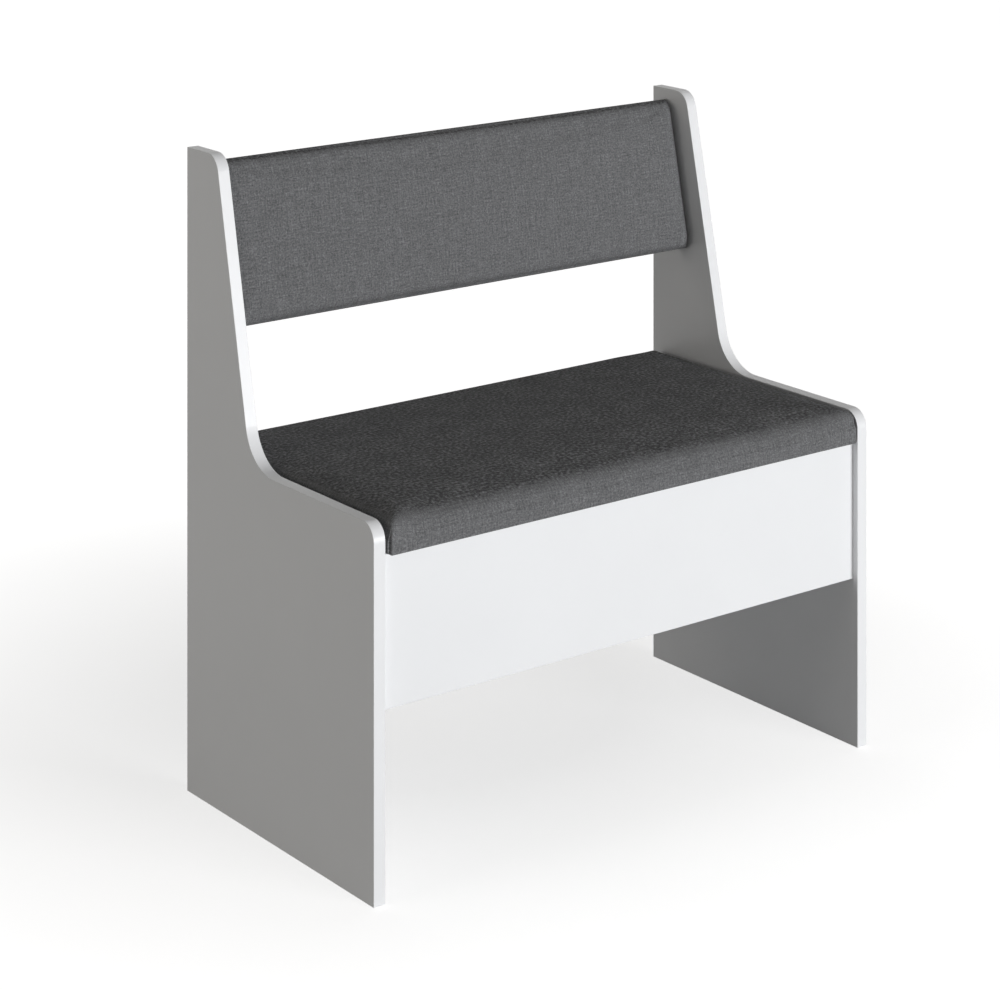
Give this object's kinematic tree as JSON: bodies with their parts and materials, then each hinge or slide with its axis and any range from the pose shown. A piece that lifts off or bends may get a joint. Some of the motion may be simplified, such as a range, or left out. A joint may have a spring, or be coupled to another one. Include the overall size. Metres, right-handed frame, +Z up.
{
  "type": "storage bench",
  "caption": "Small white dining bench with a storage chest under a hinged upholstered seat and a leaning upholstered backrest between tall side panels.",
  "frame": {"origin": "on the floor, under the middle of the bench's outline", "axes": "+X to the bench's own left-to-right width as seen from the front, -Y towards the sitter's front, +Z up"},
  "size_m": [0.766, 0.4194, 0.8],
  "materials": {
    "white_melamine": "satin white melamine on chipboard",
    "white_edge_band": "satin",
    "woven_fabric": "heathered anthracite plain weave",
    "upholstery_foam": "open-cell foam",
    "raw_chipboard": "unsealed chipboard",
    "lining_cloth": "non-woven lining",
    "beech_dowel": "fluted beech",
    "cast_zinc": "die cast",
    "zinc_plated_steel": "zinc plated"
  },
  "bodies": {
    "frame": {"left_side_panel": "white_melamine", "right_side_panel": "white_melamine", "front_panel": "white_melamine", "rear_panel": "white_melamine", "chest_floor": "white_melamine", "left_side_edge_band": "white_edge_band", "right_side_edge_band": "white_edge_band", "front_panel_edge_bands": "white_edge_band", "rear_panel_edge_bands": "white_edge_band", "backrest_cover": "woven_fabric", "backrest_foam": "upholstery_foam", "backrest_board": "raw_chipboard", "backrest_lining": "lining_cloth", "dowels": "beech_dowel", "cam_locks": "cast_zinc", "cam_bolts": "zinc_plated_steel", "left_hinge_fixed_leaf": "zinc_plated_steel", "right_hinge_fixed_leaf": "zinc_plated_steel", "left_hinge_pin": "zinc_plated_steel", "right_hinge_pin": "zinc_plated_steel", "hinge_panel_screws": "zinc_plated_steel", "bracket_screws": "zinc_plated_steel", "left_lower_backrest_bracket": "zinc_plated_steel", "left_upper_backrest_bracket": "zinc_plated_steel", "right_lower_backrest_bracket": "zinc_plated_steel", "right_upper_backrest_bracket": "zinc_plated_steel"},
    "seat_lid": {"seat_board": "raw_chipboard", "seat_foam": "upholstery_foam", "seat_cover": "woven_fabric", "left_hinge_moving_leaf": "zinc_plated_steel", "right_hinge_moving_leaf": "zinc_plated_steel", "hinge_lid_screws": "zinc_plated_steel"}
  },
  "joints": [
    {"name": "lid_hinge", "type": "hinge", "parent": "frame", "child": "seat_lid", "pos_m": [0, 0.18605, 0.3902], "axis": [-1, 0, 0], "range_deg": [0, 56]}
  ]
}
